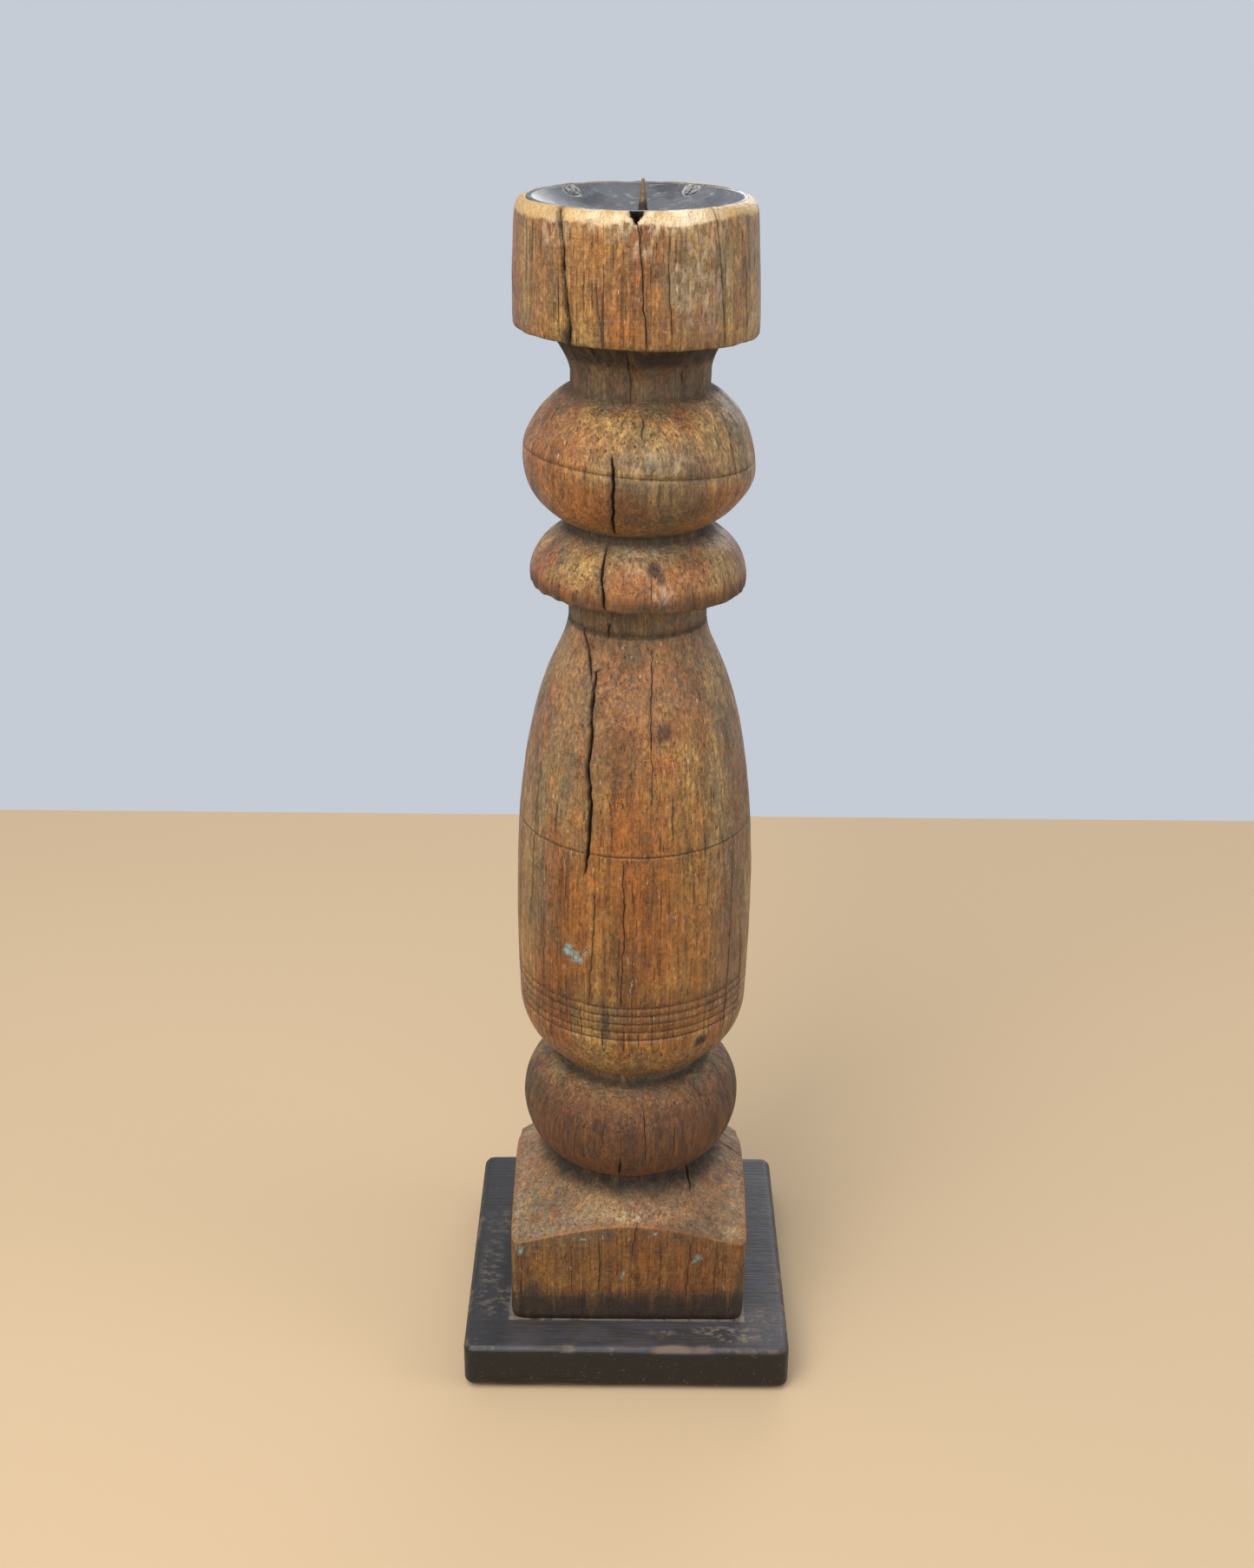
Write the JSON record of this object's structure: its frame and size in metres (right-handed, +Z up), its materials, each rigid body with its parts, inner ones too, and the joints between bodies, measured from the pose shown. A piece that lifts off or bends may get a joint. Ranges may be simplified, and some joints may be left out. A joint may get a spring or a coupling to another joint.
{
  "type": "pricket candlestick",
  "caption": "Tall pricket candlestick: an old turned wooden leg with a square plinth on a square painted board, and a metal drip dish with an upright spike in its cup.",
  "frame": {"origin": "centre of the square board, on the surface the felt pads stand on", "axes": "+Z up along the axis of the turning, -Y towards the front of the board, +X to its right"},
  "size_m": [0.11, 0.11, 0.389],
  "materials": {
    "black_paint": "worn black satin paint on wood, rubbed through at the edges",
    "old_hardwood": "old waxed hardwood, cracked, with grey dust in the hollows and a worn pale rim",
    "dish_metal": "thin dark sheet steel, dull and lightly scratched",
    "spike_iron": "rusty forged iron",
    "screw_steel": "dull plated steel",
    "felt": "pressed charcoal felt"
  },
  "bodies": {
    "root": {"base_board": "black_paint", "turned_column": "old_hardwood", "drip_dish": "dish_metal", "pricket": "spike_iron", "dish_screws": "screw_steel", "base_screws": "screw_steel", "felt_pad_front_left": "felt", "felt_pad_front_right": "felt", "felt_pad_back_left": "felt", "felt_pad_back_right": "felt"}
  },
  "joints": []
}
